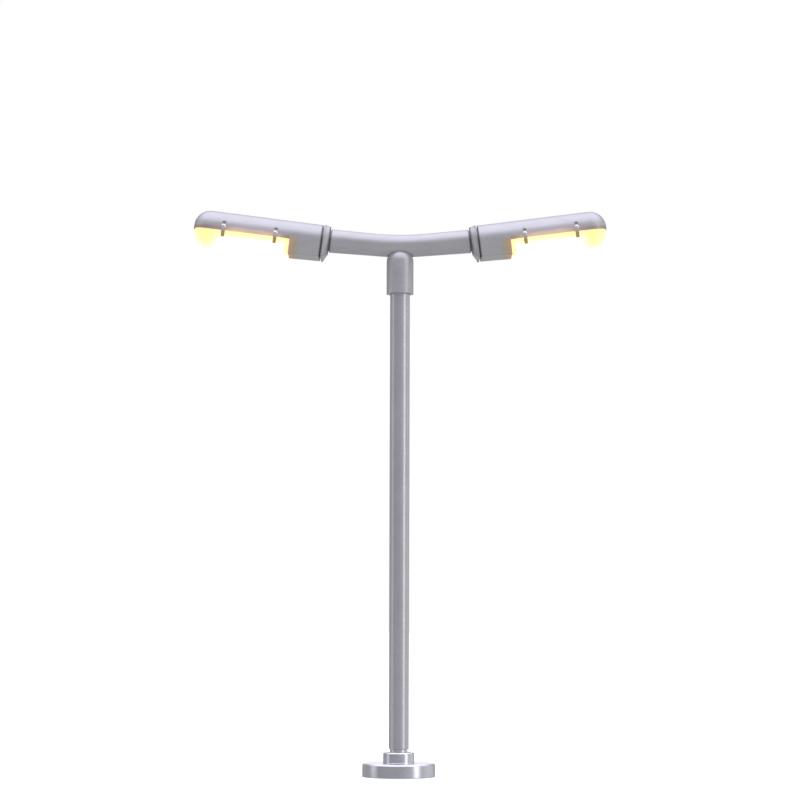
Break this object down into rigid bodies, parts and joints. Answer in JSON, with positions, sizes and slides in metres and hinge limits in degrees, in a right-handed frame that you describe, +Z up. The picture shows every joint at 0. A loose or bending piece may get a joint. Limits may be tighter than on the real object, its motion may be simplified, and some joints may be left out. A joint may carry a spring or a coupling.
{
  "type": "model railway twin-arm street lamp",
  "caption": "Scale-model street lamp: round plug-in foot, straight tube mast, tee, shallow V twin arm and long lamp heads with clear clip-on lens covers.",
  "frame": {"origin": "centre of the round foot's underside, on the surface that the lamp stands on", "axes": "+Z up along the mast; the two arms reach along +X and -X; the front is towards -Y"},
  "size_m": [0.0522, 0.0092, 0.0709],
  "materials": {
    "plated_foot": "polished nickel plate on turned brass",
    "mast_paint": "glossy silver-grey paint on brass tube",
    "silver_plastic": "satin silver-grey moulded plastic",
    "reflector": "bright bent sheet",
    "lit_lens": "clear moulded plastic, lit warm from inside",
    "bulb_glass": "clear glass, lit",
    "filament": "glowing tungsten wire",
    "clip_metal": "bright spring steel",
    "contact_brass": "bare brass",
    "solder": "bright solder",
    "black_insulator": "black laminate",
    "white_insulator": "off-white heat-proof plastic",
    "live_enamel": "red-brown enamel on copper wire",
    "return_enamel": "dark enamel on copper wire"
  },
  "bodies": {
    "foot": {"base_socket": "plated_foot", "foot_insulator": "black_insulator", "contact_rivet": "contact_brass", "contact_spring": "contact_brass"},
    "sleeve": {"grip_sleeve": "contact_brass"},
    "mast": {"mast_plug": "plated_foot", "pin_bush": "white_insulator", "contact_pin": "contact_brass", "live_solder": "solder", "mast_tube": "mast_paint", "return_solder": "solder", "tee_sleeve": "silver_plastic", "arm_tube": "silver_plastic", "neck_cap_left": "silver_plastic", "neck_cap_right": "silver_plastic", "housing_left": "silver_plastic", "housing_right": "silver_plastic", "reflector_left": "reflector", "reflector_right": "reflector", "bulb_holder_left": "white_insulator", "bulb_holder_right": "white_insulator", "holder_contacts_left": "contact_brass", "holder_contacts_right": "contact_brass", "bulb_base_left": "contact_brass", "bulb_base_right": "contact_brass", "bulb_glass_left": "bulb_glass", "bulb_glass_right": "bulb_glass", "filament_left": "filament", "filament_right": "filament", "live_wire_left": "live_enamel", "live_wire_right": "live_enamel", "return_wire_left": "return_enamel", "return_wire_right": "return_enamel"},
    "lens_cover_left": {"lens_left": "lit_lens", "lens_clips_left": "clip_metal"},
    "lens_cover_right": {"lens_right": "lit_lens", "lens_clips_right": "clip_metal"}
  },
  "joints": [
    {"name": "mast_turn", "type": "hinge", "parent": "foot", "child": "sleeve", "pos_m": [0, 0, 0], "axis": [0, 0, 1], "continuous": true},
    {"name": "mast_lift", "type": "slide", "parent": "sleeve", "child": "mast", "axis": [0, 0, 1], "range_m": [0, 0.005]},
    {"name": "lens_left_off", "type": "slide", "parent": "mast", "child": "lens_cover_left", "axis": [-0.1271, 0, -0.9919], "range_m": [0, 0.004]},
    {"name": "lens_right_off", "type": "slide", "parent": "mast", "child": "lens_cover_right", "axis": [0.1271, 0, -0.9919], "range_m": [0, 0.004]}
  ]
}
